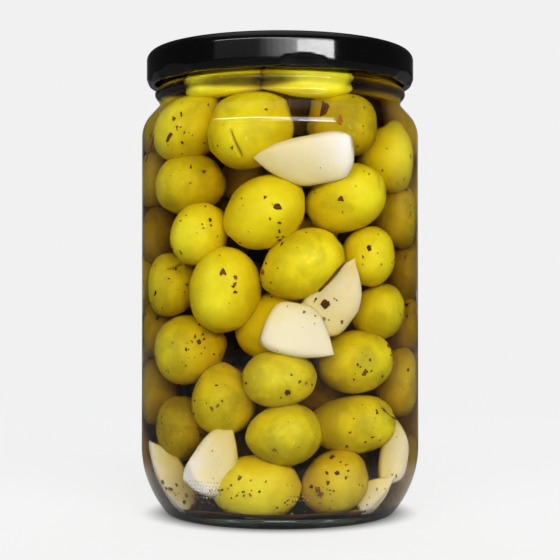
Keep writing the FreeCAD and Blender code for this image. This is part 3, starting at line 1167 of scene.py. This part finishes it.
def make_floor():
    """A pale paper floor. It keeps the jar's shadow, and rays that light the jar see it plain and dark.
    Round the jar's foot its glow fades and its plain colour darkens: a painted shadow.
    """
    n = material_nodes("pale_floor")
    position = n.add("ShaderNodeNewGeometry").outputs["Position"]
    flat = n.add("ShaderNodeVectorMath", {0: position, 1: (1, 1, 0)}, operation="MULTIPLY").outputs[0]
    far = n.add("ShaderNodeVectorMath", {0: flat}, operation="LENGTH").outputs["Value"]
    paper = n.add("ShaderNodeBsdfDiffuse", {"Color": grey(0.27)}).outputs[0]
    # the glow fades to almost nothing round the jar's foot: a painted shadow
    glow_with_painted_shadow = n.spread(far, 0.033, 0.046, 0.02, pale - 0.18)
    glow = n.add("ShaderNodeEmission", {"Color": grey(1), "Strength": glow_with_painted_shadow}).outputs[0]
    near = n.add("ShaderNodeAddShader", {0: paper, 1: glow}).outputs[0]
    even = n.add("ShaderNodeEmission", {"Color": grey(pale)}).outputs[0]
    seen = n.choose(n.spread(far, 0.12, 0.5), near, even)
    # the plain floor is nearly black round the jar's foot: a painted shadow
    plain_with_painted_shadow = n.mix(n.spread(far, 0.036, 0.07), grey(0.005), grey(0.14))
    plain = n.add("ShaderNodeBsdfDiffuse", {"Color": plain_with_painted_shadow}).outputs[0]
    rays = ray_kinds(n)
    way = n.add("ShaderNodeVectorMath", {0: flat}, operation="NORMALIZE").outputs[0]
    way = n.add("ShaderNodeSeparateXYZ", {0: way}).outputs
    behind = n.math("MULTIPLY", n.spread(way["Y"], *straight_behind), n.spread(far, 0.15, 0.5))
    through = n.math("MULTIPLY", rays.transmission, behind)
    beside = n.spread(far, 0.06, 0.14, floor_gloss_share, 0.0)
    mirrored = n.math("MULTIPLY", rays.glossy, beside)
    shown = n.math("MAXIMUM", rays.camera, n.math("MAXIMUM", through, mirrored))
    n.surface(n.choose(shown, plain, seen))
    disc, faces = lathe(np.array([[0, 0], [200.0, 0], [800.0, 0], [6000.0, 0]]), 64)
    add_mesh("floor", disc, faces, n.owner)


lamp_distance = 1400.0
lamp_target = Vector((0, 0, 120.0))


def softbox(name, azimuths, elevations, radiance, in_reflections=True):
    """A soft lamp that fills a patch of directions, seen from the target."""
    height = math.radians(sum(elevations) / 2)
    level = around(math.radians(sum(azimuths) / 2)) * math.cos(height)
    out = Vector((*level[:2], math.sin(height)))
    wide, high = (
        2 * lamp_distance * MM * math.tan(math.radians(b - a) / 2) for a, b in (azimuths, elevations)
    )
    lamp = bpy.data.lights.new(name, "AREA")
    lamp.shape = "RECTANGLE"
    lamp.size = wide * math.cos(height)
    lamp.size_y = high
    lamp.energy = radiance * math.pi * lamp.size * lamp.size_y
    holder = add_object(name, lamp)
    holder.location = (lamp_target + out * lamp_distance) * MM
    holder.rotation_euler = (-out).to_track_quat("-Z", "Y").to_euler()
    holder.visible_glossy = in_reflections


key_height = (10.0, 22.5)
key_split = 13.0  # the key is bright below this elevation and softer above it
key_steps = 7
key_step = 5  # degrees


def make_studio():
    make_world()
    make_floor()
    low, high = key_height
    softbox("key_dim", (-56, -21), key_height, 0.25)
    for k in range(key_steps):
        share = ((k + 1) / (key_steps + 1)) ** 1.5
        start = -21 + key_step * k
        softbox(f"key_step_{k}", (start, start + key_step), key_height, 7.5 * share)
    softbox("key_low", (14, 45), (low, key_split), 20.0)
    softbox("key_high", (14, 45), (key_split, high), 6.5)
    softbox("key_top", (-56, 8), (19.5, high), 13.0)
    softbox("fill", (-40, 40), (5.0, 45.0), 1.35, in_reflections=False)
    softbox("fill_behind", (110, 250), (5.0, 45.0), 1.3, in_reflections=False)
    camera = bpy.data.cameras.new("camera")
    camera.lens = lens
    camera.sensor_width = sensor
    holder = add_object("camera", camera)
    holder.location = eye * MM
    holder.rotation_euler = (math.radians(90 + pitch), 0, 0)
    bpy.context.scene.camera = holder


# ---- the whole
clove_mesh = (30, 36)  # rows and columns of faces
cut_olive_mesh = (104, 112)
front_olive_mesh = (28, 34)
back_olive_mesh = (18, 24)
# glass faces below this height get the base's nearly black tint, which is painted shade
shaded_base_top = 3.6


def settled(piece, slot, *nodes):
    """Rides the piece on the jar and hides the nodes it stands for. The slot, which names its finish, is
    not used.
    """
    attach(piece, "root")
    if nodes:
        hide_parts(*nodes)


def make_jar():
    """The glass, whose faces against the oil don't shine and whose hollow base is tinted greenish as thick
    glass is and nearly black as painted shade.
    """
    verts, faces = make_glass()
    clear = glass_material()
    jar = add_mesh("glass_jar", verts, faces, clear, outward=True)
    jar.data.materials.append(glass_material("wetted_glass", reflects=False))
    # the base tint is greenish as thick glass is, and nearly black as painted shade
    jar.data.materials.append(glass_material("shaded_base_glass", tint=(0.05, 0.065, 0.055, 1)))
    for face in jar.data.polygons:
        x, y, z = face.center / MM
        wetted = 4 < z < oil_level and math.hypot(x, y) < room_radius(z) + 0.4
        face.material_index = 2 if z < shaded_base_top else int(wetted)
    settled(jar, "glass", "jar")
    settled(make_stipple().object("heel_stipple", clear), "glass")
    return Sight(verts, faces)


def make_oil():
    reach = oil_in_wall
    corners = [(r + reach if r else 0, z - (reach if z < 8 else 0), bend) for r, z, bend in cavity_corners]
    corners += [(inner_neck_radius + reach, oil_level, 0), (0, oil_level, 0)]
    return lathe(rounded_line(corners, 0.8, 3.0), 160)


def make_shade_core():
    """The middle of the heap, a dark solid which only fills the gaps between the olives; its near-black
    colour is painted shade.
    """
    line = rounded_line([(0, 14, 0), (14, 14, 6), (17, 125, 6), (0, 125, 0)], 1.5, 3.0)
    return lathe(line, 72, lambda a, r, z: (r * (1 + 0.06 * ripple(a, z / 12, 2)), z))


def make_contents(sight):
    front = items_in_front(sight)
    items = settle(front + items_behind(front))
    olives = Heap()
    cloves = Heap()
    for number, item in enumerate(items):
        if item.kind == "clove":
            verts, faces, end, yellow = clove_shape(item, *clove_mesh, number)
            cloves.add(held_in(verts), faces, end=end, yellow=yellow)
            continue
        mesh = cut_olive_mesh if item.cuts else front_olive_mesh if item.fixed else back_olive_mesh
        verts, faces, mark = olive_shape(item, *mesh, number)
        olives.add(held_in(verts), faces, tone=item.tone, amber=item.amber, mark=mark)
    return olives, cloves


def main():
    bpy.context.scene.view_settings.view_transform = "Standard"
    cycles = bpy.context.scene.cycles
    cycles.max_bounces = 24
    cycles.transmission_bounces = 20
    cycles.transparent_max_bounces = 24

    make_studio()
    sight = make_jar()
    lid = add_mesh("metal_lid", *make_lid(), lacquer_material(), outward=True)
    settled(lid, "lacquered_tinplate", "lid")
    settled(add_mesh("oil_fill", *make_oil(), oil_material(), outward=True), "oil", "oil")

    olives, cloves = make_contents(sight)
    settled(olives.object("olives_whole", olive_material()), "olive_flesh", "olives")
    settled(cloves.object("garlic_cloves", garlic_material()), "olive_flesh")
    # the core's near-black colours are painted shade for the deep gaps of the heap
    dark = lumpy_material("shade_core", (0.02, 0.012, 0.003, 1), (0.08, 0.05, 0.008, 1))
    settled(add_mesh("shade_core", *make_shade_core(), dark, outward=True), "olive_flesh")

    surfaces = np.vstack(olives.verts + cloves.verts)
    faces = olives.faces + [[i + olives.count for i in face] for face in cloves.faces]
    tree = BVHTree.FromPolygons([Vector(v) for v in surfaces], faces)
    herbs = herb_material()
    settled(make_herbs(sight, tree).object("herb_flakes", herbs), "olive_flesh")
    settled(make_sediment().object("sediment", herbs), "olive_flesh")
    silt = lumpy_material("fine_sediment", (0.05, 0.025, 0.01, 1), (0.2, 0.09, 0.03, 1))
    settled(add_mesh("sediment_bed", *make_bed(), silt, outward=True), "olive_flesh")


main()
